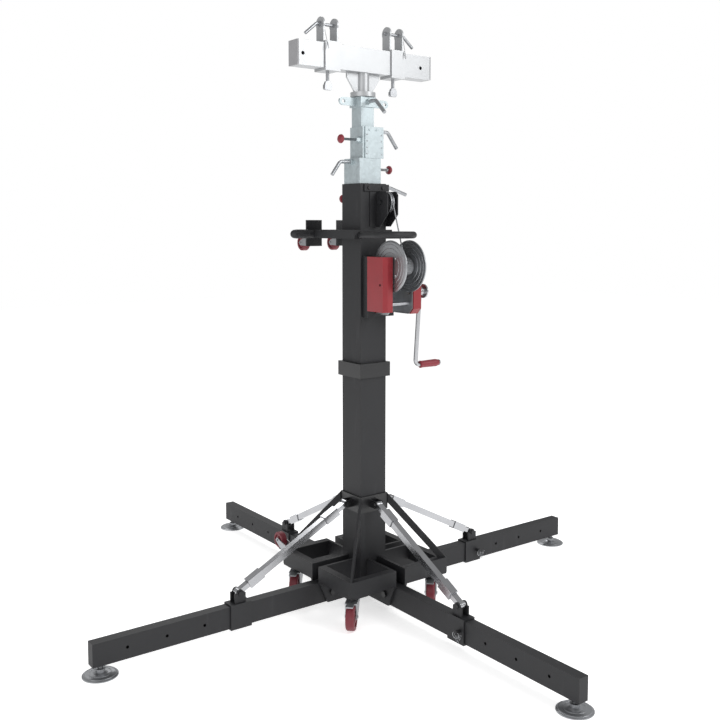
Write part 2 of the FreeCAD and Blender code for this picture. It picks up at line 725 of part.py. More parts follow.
def handles():
    """The rear bar, the two side rails and the looped front handle."""
    across = ("rear_bar_back", "handle_high")
    reach = "rear_bar_half - rear_bar"
    pieces = [bar("rear_bar_rod", "x", "rear_bar", across, "-(%s)" % reach, reach)]
    for sign in ("-", ""):
        name = "rear_bar_end_" + ("left" if sign else "right")
        ball = doc.addObject("Part::Sphere", name)
        bind(ball, "Radius", "rear_bar")
        locate(ball, sign + "(%s)" % reach, *across)
        pieces.append(ball)
        low, high = ("-mast_side / 2 - rail_wide", "-mast_side / 2") if sign else ("mast_side / 2",
                                                                                 "mast_side / 2 + rail_wide")
        pieces.append(block(name + "_rail", (low, high), ("-mast_side / 2", "rear_bar_back"),
                            ("handle_high - rail_high / 2", "handle_high + rail_high / 2")))
        centre = sign + "upper_wheel_at"
        pieces.append(block(name + "_plate", (centre + " - 36", centre + " + 36"),
                            ("rear_bar_back + rear_bar - bar_plate / 2", "rear_bar_back + rear_bar + bar_plate / 2"),
                            ("upper_wheel_high - 13", "upper_wheel_high + 91")))
    front = -size("loop_front")
    height = size("handle_high") - 2
    left = -size("loop_left")
    right = size("loop_right")
    loop = [(left, -size("mast_side") / 2, height), (left, front, height), (right, front, height), (right, -10, height)]
    pieces.append(bent("front_loop", loop, size("loop_bend"), size("loop_tube")))
    subpart("handle_frame", fuse("handle_frame", *pieces))


# --- pulley, cable and winch --------------------------------------------------------------


def pulley():
    wall = "-mast_side / 2"
    left = "cable_at - housing_half"
    right = "cable_at + housing_half"
    across = ("-sheave_forward", "sheave_high")
    backing = block("housing_backing", (left + " - 31", right + " + 3"), (wall + " - housing_plate", wall),
                    ("housing_low", "housing_high"))
    slot = block("housing_slot", ("cable_at - sheave_wide / 2 - 2", "cable_at + sheave_wide / 2 + 2"),
                 (wall + " - 20", wall + " + 1"), ("sheave_high - 37", "sheave_high + 37"))
    outline = [(wall + " - housing_plate + 1", "housing_low"), ("-housing_front + 45", "housing_low"),
               ("-housing_front", "housing_low + 45"), ("-housing_front", "housing_high - 12"),
               ("-housing_front + 12", "housing_high"), (wall + " - housing_plate + 1", "housing_high")]
    pieces = [cut("housing_back", backing, slot),
              plate("housing_left", "x", outline, left, left + " + housing_plate"),
              plate("housing_right", "x", outline, right + " - housing_plate", right),
              bar("sheave_axle", "x", "5", across, left + " - 2", right + " + 2"),
              hexagon("sheave_bolt", "x", "9", across, left + " - 7", left),
              hexagon("sheave_nut", "x", "9", across, right, right + " + 7")]
    guide = block("guide_plate", ("-46", "70"), (wall + " - guide_thick", wall), ("mast_top - 29", "mast_top - 3"))
    subpart("pulley_housing", group("pulley_housing", fuse("housing", *pieces), guide))
    half = "sheave_wide / 2"
    hub = "(housing_half - housing_plate - slide_gap)"
    outline = [("5 + fit", "-" + hub), ("10", "-" + hub), ("10", "-" + half), ("sheave_outer", "-" + half),
               ("sheave_outer", "-cable - 1.5"), ("sheave - cable - slide_gap", "-cable - slide_gap"),
               ("sheave - cable - slide_gap", "cable + slide_gap"), ("sheave_outer", "cable + 1.5"),
               ("sheave_outer", half), ("10", half), ("10", hub), ("5 + fit", hub)]
    subpart("cable_pulley", turning("cable_pulley", "x", outline, across, "cable_at"))


def cable():
    """The lifting cable, taut from the drum over the pulley and down inside the mast."""
    x = size("cable_at")
    drum = Vector(x, -size("drum_forward"), size("drum_high"))
    sheave = Vector(x, -size("sheave_forward"), size("sheave_high"))
    drum_bend = size("drum_core") + size("cable") + size("slide_gap")
    sheave_bend = size("sheave")
    between = sheave - drum
    lean = math.atan2(-between.y, between.z)
    spread = math.asin((drum_bend - sheave_bend) / between.Length)
    side = lean - spread

    def on_circle(centre, bend, angle):
        return centre + Vector(0, -math.cos(angle), -math.sin(angle)) * bend

    wrap = math.radians(50)
    start = on_circle(drum, drum_bend, side + wrap)
    leave = on_circle(drum, drum_bend, side)
    meet = on_circle(sheave, sheave_bend, side)
    inside = sheave + Vector(0, sheave_bend, 0)
    over = on_circle(sheave, sheave_bend, (side - math.pi) / 2)
    foot_end = Vector(x, inside.y, size("second_low"))
    wire = Part.Wire([Part.Arc(start, on_circle(drum, drum_bend, side + wrap / 2), leave).toShape(),
                      Part.LineSegment(leave, meet).toShape(),
                      Part.Arc(meet, over, inside).toShape(),
                      Part.LineSegment(inside, foot_end).toShape()])
    made = swept("winch_cable", wire, size("cable"))
    expected = math.pi * size("cable") ** 2 * wire.Length
    print("cable length %.1f, radii %.1f and %.1f, volume %.1f of %.1f"
          % (wire.Length, drum_bend, sheave_bend, made.Shape.Volume, expected))
    subpart("winch_cable", made)


def winch_frame():
    """The standoff channel on the mast, and the winch's folded frame with its tie rod."""
    wall = "-mast_side / 2"
    front = wall + " - bracket_deep"
    outside = block("bracket_outside", ("-50", "cable_at + winch_half"), (front, wall), ("bracket_low", "bracket_high"))
    inside = block("bracket_inside", ("-46", "cable_at + winch_half - 4"), (front + " + 4", wall + " + 1"),
                   ("bracket_low + 4", "bracket_high - 4"))
    step = block("bracket_step", ("-50", "cable_at - winch_half - 1"), ("-cover_back", front),
                 ("bracket_low", "bracket_high - 6"))
    subpart("winch_bracket", fuse("winch_bracket", cut("bracket_channel", outside, inside), step))
    left = "cable_at - winch_half"
    right = "cable_at + winch_half"
    backing = block("winch_back", (left, right), (front + " - winch_plate", front), ("winch_low", "winch_high"))
    outline = [(front, "winch_low"), ("-winch_front + 22", "winch_low"), ("-winch_front", "winch_low + 22"),
               ("-winch_front", "winch_high - 16"), ("-winch_front + 16", "winch_high"), (front, "winch_high")]
    sides = [plate("winch_left", "x", outline, left, left + " + winch_plate"),
             plate("winch_right", "x", outline, right + " - winch_plate", right)]
    tie = bar("winch_tie", "x", "6.5", ("-crank_forward + 4", "1178"), left + " + 1", right + " - 1")
    screw = hexagon("winch_screw", "y", "6", ("cable_at - 12", "1205"), front + " - winch_plate - 7",
                    front + " - winch_plate")
    drum_hole = bar("winch_drum_hole", "x", "drum_shaft + fit", ("-drum_forward", "drum_high"), left + " - 5",
                    right + " + 5")
    crank_hole = bar("winch_crank_hole", "x", "crank_shaft + fit", ("-crank_forward", "crank_high"),
                     right + " - 10", right + " + 5")
    subpart("winch_frame", cut("winch_frame", fuse("winch_solid", backing, tie, screw, *sides),
                               drum_hole, crank_hole))


def winch_covers():
    """Two folded sheet covers, open towards the winch's frame."""
    left = "cable_at - winch_half - slide_gap"
    back = "-mast_side / 2 - bracket_deep - slide_gap"
    outline = [("-cover_left", "-cover_back"), ("-cover_left", "-cover_front + 9"), ("-cover_left + 16", "-cover_front"),
               (left, "-cover_front"), (left, "-cover_back")]
    hollow = [("-cover_left + cover_sheet", "-cover_back + 1"), ("-cover_left + cover_sheet", "-cover_front + 10"),
              ("-cover_left + 17", "-cover_front + cover_sheet"), (left + " + 1", "-cover_front + cover_sheet"),
              (left + " + 1", "-cover_back + 1")]
    shell = plate("cover_left_outside", "z", outline, "cover_low", "cover_high")
    space = plate("cover_left_inside", "z", hollow, "cover_low + cover_sheet", "cover_high - cover_sheet")
    peep = bar("cover_left_hole", "x", "5", ("-drum_forward + 2", "crank_high + 30"), "-60", "-40")
    left_cover = cut("cover_left_sheet", shell, space, peep)
    start = "cable_at + winch_half + slide_gap"
    end = start + " + cover_right_wide"
    side = [(back, "winch_low"), ("-winch_front + 16", "winch_low"), ("-winch_front - 4", "winch_low + 20"),
            ("-winch_front - 4", "1330"), ("-winch_front + 10", "1330"), ("-winch_front + 36", "1262"),
            (back, "1262")]
    inset = [(back + " + 1", "winch_low + cover_sheet"), ("-winch_front + 17", "winch_low + cover_sheet"),
             ("-winch_front - 4 + cover_sheet", "winch_low + 21"), ("-winch_front - 4 + cover_sheet", "1328"),
             ("-winch_front + 8", "1328"), ("-winch_front + 34", "1262 - cover_sheet"),
             (back + " + 1", "1262 - cover_sheet")]
    shell = plate("cover_right_outside", "x", side, start, end)
    space = plate("cover_right_inside", "x", inset, start + " - 1", end + " - cover_sheet")
    hole = bar("cover_right_hole", "x", "crank_shaft + fit", ("-crank_forward", "crank_high"), start + " - 2",
               end + " + 2")
    right_cover = cut("cover_right_sheet", shell, space, hole)
    subpart("winch_covers", group("winch_covers", left_cover, right_cover))


def drum():
    half = "drum_half"
    shaft_end = "winch_half - slide_gap"
    outline = [("0", "-(%s)" % shaft_end), ("drum_shaft", "-(%s)" % shaft_end), ("drum_shaft", "-" + half),
               ("drum_flange - 6", "-" + half), ("drum_flange", "-%s + 2" % half), ("drum_flange", "-%s + 5" % half),
               ("drum_flange - 8", "-%s + 4" % half), ("drum_core + 10", "-%s + 7" % half),
               ("drum_core", "-%s + 7" % half), ("drum_core", "%s - 7" % half), ("drum_core + 10", "%s - 7" % half),
               ("drum_flange - 8", "%s - 4" % half), ("drum_flange", "%s - 5" % half),
               ("drum_flange", "%s - 2" % half), ("drum_flange - 6", half), ("drum_shaft", half),
               ("drum_shaft", shaft_end), ("0", shaft_end)]
    subpart("winch_drum", turning("winch_drum", "x", outline, ("-drum_forward", "drum_high"), "cable_at"))


def crank():
    across = ("-crank_forward", "crank_high")
    face = "cable_at + winch_half + slide_gap + cover_right_wide + slide_gap"
    shaft = bar("crank_spindle", "x", "crank_shaft", across, "cable_at + winch_half - winch_plate", face + " + 20")
    hub = bar("crank_hub", "x", "17", across, face, face + " + 26")
    cap = bar("crank_hub_cap", "x", "27", across, face + " + 26", face + " + 32")
    at = size("crank_arm_at")
    forward = -size("crank_bottom_forward")
    bottom = size("crank_bottom")
    points = [(at, -size("crank_forward"), size("crank_high")), (at, forward, bottom),
              (size("grip_to") + 3, forward, bottom)]
    rod = bent("crank_rod_bar", points, size("crank_bend"), size("crank_rod"))
    stop = bar("crank_stop", "x", "crank_rod + 3", ("-crank_bottom_forward", "crank_bottom"),
               "grip_to + slide_gap", "grip_to + 5")
    subpart("crank_arm", fuse("crank_arm", shaft, hub, cap, rod, stop))
    outline = [("crank_rod + fit", "0"), ("grip - 2", "0"), ("grip", "3"), ("grip - 1", "12"),
               ("grip", "grip_to - grip_from - 14"), ("grip - 3", "grip_to - grip_from"),
               ("crank_rod + fit", "grip_to - grip_from")]
    subpart("crank_grip", turning("crank_grip", "x", outline, ("-crank_bottom_forward", "crank_bottom"),
                                  "grip_from"))


# --- clamp levers and lock knobs ----------------------------------------------------------


def levers():
    """Bent rods that turn in the bosses and clamp the section inside."""
    mast = size("mast_side") / 2 - size("mast_wall")
    second_x = -(mast - size("second_side") / 2 - size("slide_gap"))
    second_wall = second_x - size("second_side") / 2 + size("section_wall")
    third_x = second_x + (size("second_side") - size("third_side")) / 2 - size("section_wall") - size("slide_gap")
    third_wall = third_x + size("third_side") / 2 - size("section_wall")
    fourth_x = third_x - (size("third_side") - size("fourth_side")) / 2 + size("section_wall") + size("slide_gap")
    mast_z = size("mast_top") - 13
    second_z = size("second_top") - 14
    third_z = size("third_top") - 12
    fourth_z = 1936
    points = {
        "clamp_lever_mast": [(mast, 0, mast_z), (128, 0, mast_z), (205, 0, mast_z - 24)],
        "clamp_lever_section_2": [(second_wall, 0, second_z), (-112, 0, second_z), (-149, 0, second_z - 50)],
        "clamp_lever_section_3": [(third_wall, 0, third_z), (113, 0, third_z), (158, 0, third_z - 60)],
        "clamp_lever_section_4": [(fourth_x, -24.6, fourth_z), (fourth_x, -81, fourth_z),
                                  (fourth_x, -135, fourth_z - 49)],
    }
    for label, path in points.items():
        subpart(label, bent(label, path, 14, size("lever")))


def knobs():
    """Sprung locking pins with mushroom heads; each turned from its nose outwards."""
    def outline(reach):
        return [("0", "0"), ("knob_shaft - 1", "0"), ("knob_shaft", "1.5"), ("knob_shaft", "20"),
                ("knob_shaft", reach + " - 26"), ("knob_shaft + 5", reach + " - 22"), ("knob", reach + " - 12"),
                ("knob", reach + " - 7"), ("knob - 5", reach), ("0", reach)]
    wall = "mast_side / 2 - mast_wall"
    subpart("lock_knob_mast", turning("lock_knob_mast", "y", outline("92"), ("0", "mast_top - 53"), wall))
    right = SECOND_X + " + second_side / 2 - section_wall"
    subpart("lock_knob_section_2", turning("lock_knob_section_2", "x", outline("88"), ("0", "second_top - 38"), right))
    left = "%s - third_side / 2 + section_wall" % THIRD_X
    knob = turning("lock_knob_section_3", "x", outline("100"), ("-26", "third_top - 50"), left)
    knob.Placement = Placement(knob.Placement.Base, Rotation(Vector(0, 1, 0), -90))
    subpart("lock_knob_section_3", knob)


# --- head ---------------------------------------------------------------------------------


def head():
    """The turning head: spigot, flange, gussets and cross beam, with end caps."""
    low = "beam_low"
    high = "beam_low + beam_high"
    half = "beam_wide / 2"
    start = "%s - beam_half" % FOURTH_X
    end = "%s + beam_half" % FOURTH_X
    outside = block("beam_outside", (start, end), ("-" + half, half), (low, high))
    inside = block("beam_inside", (start + " - 1", end + " + 1"), ("-beam_wide / 2 + beam_wall", half + " - beam_wall"),
                   (low + " + beam_wall", high + " - beam_wall"))
    centre = (FOURTH_X, "0")
    holes = [bar("beam_hole_0", "y", "beam_hole", (FOURTH_X + " - beam_hole_left", "beam_low + 42"), "-50", "50"),
             bar("beam_hole_1", "y", "beam_hole", (FOURTH_X + " + beam_hole_right", "beam_low + 42"), "-50", "50")]
    tube = cut("beam_tube", outside, inside, *holes)
    lower = bar("head_spigot", "z", "spigot", centre, "fourth_top - 40", low)
    flange = bar("head_disc", "z", "head_flange", centre, "fourth_top", "fourth_top + 17")
    outline = [("%s - 40" % FOURTH_X, "fourth_top + 17"), ("%s - 76" % FOURTH_X, "2024"),
               ("%s - 76" % FOURTH_X, low), ("%s + 76" % FOURTH_X, low), ("%s + 76" % FOURTH_X, "2024"),
               ("%s + 40" % FOURTH_X, "fourth_top + 17")]
    gusset = plate("head_gusset", "y", outline, "-4", "4")
    subpart("head_beam", fuse("head_beam", tube, lower, flange, gusset))
    caps = [block("beam_cap_left", (start + " - beam_cap", start), ("-" + half, half), (low, high)),
            block("beam_cap_right", (end, end + " + beam_cap"), ("-" + half, half), (low, high))]
    subpart("beam_end_caps", group("beam_end_caps", *caps))


def truss_clamps():
    """Sleeves on the beam with tall ears at their ends, a pull pin through both and a wing screw below."""
    gap = "slide_gap"
    for side, offset, way in (("left", "- sleeve_left", -1), ("right", "+ sleeve_right", 1)):
        centre = "%s %s" % (FOURTH_X, offset)
        span = (centre + " - sleeve_long / 2", centre + " + sleeve_long / 2")
        inner = "beam_wide / 2 + " + gap
        outer = inner + " + sleeve_wall"
        low = "beam_low - " + gap
        high = "beam_low + beam_high + " + gap
        outside = block("sleeve_outside_" + side, span, ("-(%s)" % outer, outer),
                        (low + " - sleeve_wall - 2", high + " + sleeve_wall"))
        inside = block("sleeve_inside_" + side, (span[0] + " - 1", span[1] + " + 1"), ("-(%s)" % inner, inner),
                       (low, high))
        sleeve = cut("sleeve_" + side, outside, inside)
        ears = []
        for place, (near, far) in enumerate(((span[0], span[0] + " + ear_thick"), (span[1] + " - ear_thick", span[1]))):
            name = "ear_%s_%d" % (side, place)
            ears.append(block(name, (near, far), ("-ear_half", "ear_half"), (high + " + sleeve_wall - 2", "ear_pin_high")))
            ears.append(bar(name + "_round", "x", "ear_round", ("0", "ear_pin_high"), near, far))
        tools = [bar("ear_hole_" + side, "x", "truss_pin + fit", ("0", "ear_pin_high"), span[0] + " - 5", span[1] + " + 5"),
                 bar("wing_hole_" + side, "z", "wing_shank + fit", (centre, "0"), low + " - 30", low + " + 1")]
        subpart("truss_sleeve_" + side, cut("truss_sleeve_" + side, fuse("sleeve_whole_" + side, sleeve, *ears),
                                            *tools))
        place = truss_centre(side)
        half = size("sleeve_long") / 2
        level = size("ear_pin_high")
        shank = bar("truss_shank_" + side, "x", "truss_pin", ("0", "ear_pin_high"), span[0] + " - 12", span[1] + " + 12")
        bend = [(place + way * (half + 1), 0, level), (place + way * (half + 16), 0, level),
                (place + way * (half + 64), 0, level - 40)]
        handle = bent("truss_handle_" + side, bend, 10, size("truss_pin"))
        ends = (span[1] + " + slide_gap", span[1] + " + 5") if way > 0 else (span[0] + " - 5", span[0] + " - slide_gap")
        stop = bar("truss_stop_" + side, "x", "truss_pin + 4", ("0", "ear_pin_high"), *ends)
        subpart("truss_pin_" + side, fuse("truss_pin_" + side, shank, handle, stop))
        screw = [("0", "0"), ("14", "0"), ("17", "4"), ("17", "18"), ("12", "30"), ("wing_shank", "32"),
                 ("wing_shank", "beam_low - 1969.3"), ("0", "beam_low - 1969.3")]
        turned_screw = turning("wing_knob_" + side, "z", screw, (centre, "0"), "1969")
        sides = [block("wing_flat_%s_%d" % (side, place_at), (centre + " - 20", centre + " + 20"), ends, ("1960", "2010"))
                 for place_at, ends in enumerate((("-30", "-7"), ("7", "30")))]
        subpart("wing_screw_" + side, cut("wing_screw_" + side, turned_screw, *sides))


def truss_centre(side):
    """Where a sleeve's centre lies along X."""
    mast = size("mast_side") / 2 - size("mast_wall")
    second_x = -(mast - size("second_side") / 2 - size("slide_gap"))
    third_x = second_x + (size("second_side") - size("third_side")) / 2 - size("section_wall") - size("slide_gap")
    fourth_x = third_x - (size("third_side") - size("fourth_side")) / 2 + size("section_wall") + size("slide_gap")
    return fourth_x - size("sleeve_left") if side == "left" else fourth_x + size("sleeve_right")


for build in (outer_mast, sections, section_4, collars, base, braces, fasteners, legs, casters, transport_wheels,
              handles, pulley, cable, winch_frame, winch_covers, drum, crank, levers, knobs, head, truss_clamps):
    build()
doc.recompute()

faults = [item.Name for item in doc.Objects if "Invalid" in item.State or "Error" in item.State]
faults += [item.Label for item in subparts if item.Shape.isNull() or not item.Shape.isValid()]
if faults:
    raise RuntimeError("failed: " + ", ".join(faults))
os.makedirs("parts", exist_ok=True)
for item in subparts:
    item.Shape.exportStep("parts/%s.step" % item.Label)
print("%d sub-parts" % len(subparts))
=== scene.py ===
import json
import math

import bpy
import numpy as np
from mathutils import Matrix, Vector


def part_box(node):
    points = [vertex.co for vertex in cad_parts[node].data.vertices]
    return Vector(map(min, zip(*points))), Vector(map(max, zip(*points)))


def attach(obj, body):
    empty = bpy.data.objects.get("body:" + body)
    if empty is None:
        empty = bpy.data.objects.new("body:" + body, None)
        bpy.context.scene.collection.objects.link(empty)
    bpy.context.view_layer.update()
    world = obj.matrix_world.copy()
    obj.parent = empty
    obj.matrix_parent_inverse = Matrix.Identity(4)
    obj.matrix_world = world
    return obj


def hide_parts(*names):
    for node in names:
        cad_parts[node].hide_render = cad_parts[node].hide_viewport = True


bl_info = {
    "name": "Crank Lighting Stand Looks",
    "version": (1, 0, 0),
    "blender": (4, 5, 0),
    "location": "3D View > Sidebar > Stand",
    "description": "Finishes and small fittings for a crank lighting stand",
    "category": "Object",
}

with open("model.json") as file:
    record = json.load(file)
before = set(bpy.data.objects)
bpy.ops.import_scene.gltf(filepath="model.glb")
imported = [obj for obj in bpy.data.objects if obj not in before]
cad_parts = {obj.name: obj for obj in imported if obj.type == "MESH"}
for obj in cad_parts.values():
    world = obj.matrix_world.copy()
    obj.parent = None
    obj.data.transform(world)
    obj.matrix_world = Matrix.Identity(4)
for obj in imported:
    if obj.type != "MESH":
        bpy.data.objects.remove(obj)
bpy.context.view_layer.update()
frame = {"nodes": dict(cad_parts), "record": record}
QUARTERS = {"right": (1, 0), "back": (0, 1), "left": (-1, 0), "front": (0, -1)}
PLATE_FACE = -0.049
FLANGE_HALF = 0.048
FLANGE_BEADS = (0.052, 0.068, 0.083)
BOLT_CIRCLE = 0.045
CASTER_AXIS = np.array([1.0, -1.0, 0.0]) / math.sqrt(2)
CAP_FROM_CENTRE = 0.016
TYRE_RADIUS = 0.0497
FOOT_THREAD = (0.0242, 0.0312)
BRASS_SPOT = (0.026, -0.0810, 1.205)
CAMERA_PLACE = (-2.1374, -2.8827, 1.4695)
CAMERA_TURN = (90 - 4.76, 0, -36.56)
CAMERA_LENS = 46.57
CAMERA_SHIFT = (-0.0057, -0.0785)
FLOOR_HALF = 14.0


# --- sizes and colours that a user would change -------------------------------------------


def colour_property(name, description, default):
    return bpy.props.FloatVectorProperty(name=name, description=description, subtype="COLOR", size=3,
                                         min=0, max=1, default=default)


class StandColours(bpy.types.PropertyGroup):
    powder: colour_property("Powder coat", "Black paint of the mast, base and legs", (0.010, 0.0103, 0.0122))
    cover: colour_property("Winch covers", "Red paint of the winch's covers", (0.25, 0.008, 0.015))
    grip: colour_property("Grip and knobs", "Red plastic of the crank's grip and the lock knobs", (0.22, 0.020, 0.032))
    tyre: colour_property("Tyres", "Dark red rubber of the wheels", (0.16, 0.012, 0.022))
    zinc: colour_property("Zinc", "Zinc plated steel", (0.36, 0.37, 0.385))
    galvanised: colour_property("Galvanised", "The sliding sections", (0.43, 0.49, 0.51))
    aluminium: colour_property("Aluminium", "The head's beam and sleeves", (0.44, 0.45, 0.46))
    chrome: colour_property("Chrome", "The struts and the crank's arm", (0.42, 0.425, 0.44))
    collar: colour_property("Collars", "Gloss black of the mast's collars and band", (0.006, 0.006, 0.007))
    plug: colour_property("Plugs", "Grey plastic end plugs", (0.30, 0.30, 0.31))
    brass: colour_property("Brass", "The winch's brass screw", (0.62, 0.42, 0.15))


class StandSizes(bpy.types.PropertyGroup):
    cable: bpy.props.FloatProperty(name="Cable radius", description="Radius of the lifting cable",
                                   default=0.0025, unit="LENGTH")
    turns: bpy.props.IntProperty(name="Cable turns", description="Turns of cable wound on the drum", default=14)
    core: bpy.props.FloatProperty(name="Drum core", description="Radius of the drum's core",
                                  default=0.0302, unit="LENGTH")
    rim: bpy.props.FloatProperty(name="Flange rim", description="Radius of the rolled edge of a drum flange",
                                 default=0.0026, unit="LENGTH")
    ring: bpy.props.FloatProperty(name="Pin ring", description="Radius of the ring on a collar's pull pin",
                                  default=0.012, unit="LENGTH")
    wire: bpy.props.FloatProperty(name="Wire", description="Radius of rings, links and safety wires",
                                  default=0.0012, unit="LENGTH")
    rivet: bpy.props.FloatProperty(name="Rivet", description="Radius of a rivet head", default=0.003, unit="LENGTH")
    light: bpy.props.FloatProperty(name="Key light", description="Strength of the key light", default=95.0)


# --- surfaces -----------------------------------------------------------------------------


def piece_from_grid(name, grid, body, finish, wrap_rows=False, wrap_columns=True, caps=False, flip=False):
    """A mesh from a grid of points: each cell is a face, and a cap closes each end row."""
    rows, columns = grid.shape[:2]
    corners = np.arange(rows * columns).reshape(rows, columns)
    if wrap_rows:
        corners = np.vstack([corners, corners[:1]])
    if wrap_columns:
        corners = np.hstack([corners, corners[:, :1]])
    faces = np.stack([corners[:-1, :-1], corners[:-1, 1:], corners[1:, 1:], corners[1:, :-1]], axis=-1)
    faces = faces.reshape(-1, 4)
    loops = faces.ravel()
    totals = np.full(len(faces), 4)
    if caps:
        first = np.arange(columns)[::-1]
        last = np.arange(columns) + (rows - 1) * columns
        loops = np.concatenate([loops, first, last])
        totals = np.concatenate([totals, [columns, columns]])
    if flip:
        ends = np.cumsum(totals)
        order = np.repeat(ends, totals) - 1 - (np.arange(len(loops)) - np.repeat(ends - totals, totals))
        loops = loops[order]
    mesh = bpy.data.meshes.new(name)
    points = grid.reshape(-1, 3)
    mesh.vertices.add(len(points))
    mesh.vertices.foreach_set("co", points.astype(np.float32).ravel())
    mesh.loops.add(len(loops))
    mesh.loops.foreach_set("vertex_index", loops.astype(np.int32))
    mesh.polygons.add(len(totals))
    mesh.polygons.foreach_set("loop_start", (np.cumsum(totals) - totals).astype(np.int32))
    mesh.update(calc_edges=True)
    mesh.validate()
    mesh.shade_smooth()
    made = bpy.data.objects.new(name, mesh)
    bpy.context.scene.collection.objects.link(made)
    made.data.materials.append(material(finish))
    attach(made, body)
    return made


def tube(path, radius, sides=10, closed=False):
    """A ring of points round each point of a path, square to the path's tangent there."""
    path = np.asarray(path, float)
    if closed:
        tangent = np.roll(path, -1, axis=0) - np.roll(path, 1, axis=0)
    else:
        tangent = np.gradient(path, axis=0)
    tangent /= np.linalg.norm(tangent, axis=1)[:, None]
    across = np.abs(tangent).mean(axis=0)
    guide = np.eye(3)[int(across.argmin())]
    first = np.cross(tangent, guide)
    first /= np.linalg.norm(first, axis=1)[:, None]
    second = np.cross(tangent, first)
    angle = np.linspace(0, 2 * np.pi, sides, endpoint=False)
    ring = np.cos(angle)[None, :, None] * first[:, None] + np.sin(angle)[None, :, None] * second[:, None]
    return path[:, None] + np.asarray(radius).reshape(-1, 1, 1) * ring


def lathe(profile, centre, axis, sides=32):
    """A profile of (radius, distance) pairs turned about an axis through a centre."""
    profile = np.asarray(profile, float)
    axis = np.asarray(axis, float) / np.linalg.norm(axis)
    guide = np.eye(3)[int(np.abs(axis).argmin())]
    first = np.cross(axis, guide)
    first /= np.linalg.norm(first)
    second = np.cross(axis, first)
    angle = np.linspace(0, 2 * np.pi, sides, endpoint=False)
    ring = np.cos(angle)[:, None] * first + np.sin(angle)[:, None] * second
    return (np.asarray(centre, float) + profile[:, 1, None, None] * axis
            + profile[:, 0, None, None] * ring[None])


def turned_piece(name, profile, centre, axis, body, finish, sides=32):
    grid = lathe(profile, centre, axis, sides)
    return piece_from_grid(name, grid, body, finish, caps=True, flip=profile[-1][1] < profile[0][1])


def wire_piece(name, path, radius, body, finish, closed=False, sides=8):
    grid = tube(path, radius, sides, closed)
    return piece_from_grid(name, grid, body, finish, wrap_rows=closed, caps=not closed)


def dome(radius, height, steps=6):
    """A rounded head: a quarter ellipse from its edge to its top."""
    angle = np.linspace(0, np.pi / 2 * 0.97, steps)
    return np.column_stack([radius * np.cos(angle), height * np.sin(angle)])


def ring_path(centre, radius, normal, count=40, stretch=1.0):
    """A circle about a normal, pulled out along its second direction."""
    normal = np.asarray(normal, float) / np.linalg.norm(normal)
    first = np.cross(normal, np.eye(3)[int(np.abs(normal).argmin())])
    first /= np.linalg.norm(first)
    second = np.cross(normal, first)
    angle = np.linspace(0, 2 * np.pi, count, endpoint=False)[:, None]
    return np.asarray(centre) + radius * (np.cos(angle) * first + stretch * np.sin(angle) * second)


# --- shader maths -------------------------------------------------------------------------


class Value:
    """A socket that takes part in sums."""

    def __init__(self, graph, socket):
        self.graph = graph
        self.socket = socket

    def sum(self, operation, first, second):
        return self.graph.node("ShaderNodeMath", {"operation": operation}, {0: first, 1: second})

    def __add__(self, other):
        return self.sum("ADD", self, other)

    def __sub__(self, other):
        return self.sum("SUBTRACT", self, other)

    def __mul__(self, other):
        return self.sum("MULTIPLY", self, other)

    __radd__ = __add__
    __rmul__ = __mul__


class Graph:
    """A material's nodes."""

    def __init__(self, made):
        made.use_nodes = True
        self.tree = made.node_tree
        self.tree.nodes.clear()
        self.place = self.node("ShaderNodeTexCoord", {}, {}, "Object")

    def node(self, kind, settings, inputs, output=0):
        """Adds a node: its settings first, then the values or links of its sockets."""
        made = self.tree.nodes.new(kind)
        for name, value in settings.items():
            setattr(made, name, value)
        for key, value in inputs.items():
            if isinstance(value, Value):
                self.tree.links.new(value.socket, made.inputs[key])
            else:
                made.inputs[key].default_value = value
        return Value(self, made.outputs[output])

    def stretched(self, scale):
        return self.node("ShaderNodeMapping", {}, {"Vector": self.place, "Scale": scale})

    def noise(self, scale, detail=2.0, place=None):
        return self.node("ShaderNodeTexNoise", {}, {"Vector": place or self.place, "Scale": scale,
                                                    "Detail": detail, "Roughness": 0.55})

    def step(self, value, low, high):
        """0 below low, 1 above high, and straight between."""
        return self.node("ShaderNodeMapRange", {}, {"Value": value, "From Min": low, "From Max": high})

    def mix(self, factor, first, second):
        return self.node("ShaderNodeMix", {"data_type": "RGBA"}, {0: factor, 6: first, 7: second}, 2)

    def finish(self, colour, roughness, bump, metallic=0.0, strength=0.2, distance=0.0004, coat=0.0):
        normal = self.node("ShaderNodeBump", {}, {"Height": bump, "Strength": strength, "Distance": distance})
        shader = self.node("ShaderNodeBsdfPrincipled", {}, {"Base Color": colour, "Roughness": roughness,
                                                            "Metallic": metallic, "Normal": normal,
                                                            "Coat Weight": coat, "Coat Roughness": 0.15})
        self.node_output(shader)

    def node_output(self, shader):
        end = self.tree.nodes.new("ShaderNodeOutputMaterial")
        self.tree.links.new(shader.socket, end.inputs["Surface"])


def shade(colour, factor):
    return tuple(min(1.0, part * factor) for part in colour) + (1.0,)


def powder_coat(graph, colours):
    """Fine orange-peel paint with dust in its hollows and faint scuffs."""
    grain = graph.noise(1400.0, 3.0)
    cloud = graph.noise(6.0, 3.0)
    scuff = graph.step(graph.noise(3.0, 5.0, graph.stretched((9.0, 9.0, 1.2))), 0.62, 0.75)
    worn = graph.mix(cloud * 0.6 + grain * 0.4, shade(colours.powder, 0.75), shade(colours.powder, 1.35))
    graph.finish(graph.mix(scuff * 0.35, worn, shade(colours.powder, 2.6)), 0.50 + grain * 0.18 - scuff * 0.1,
                 grain + scuff * 0.2, strength=0.35, distance=0.0005)


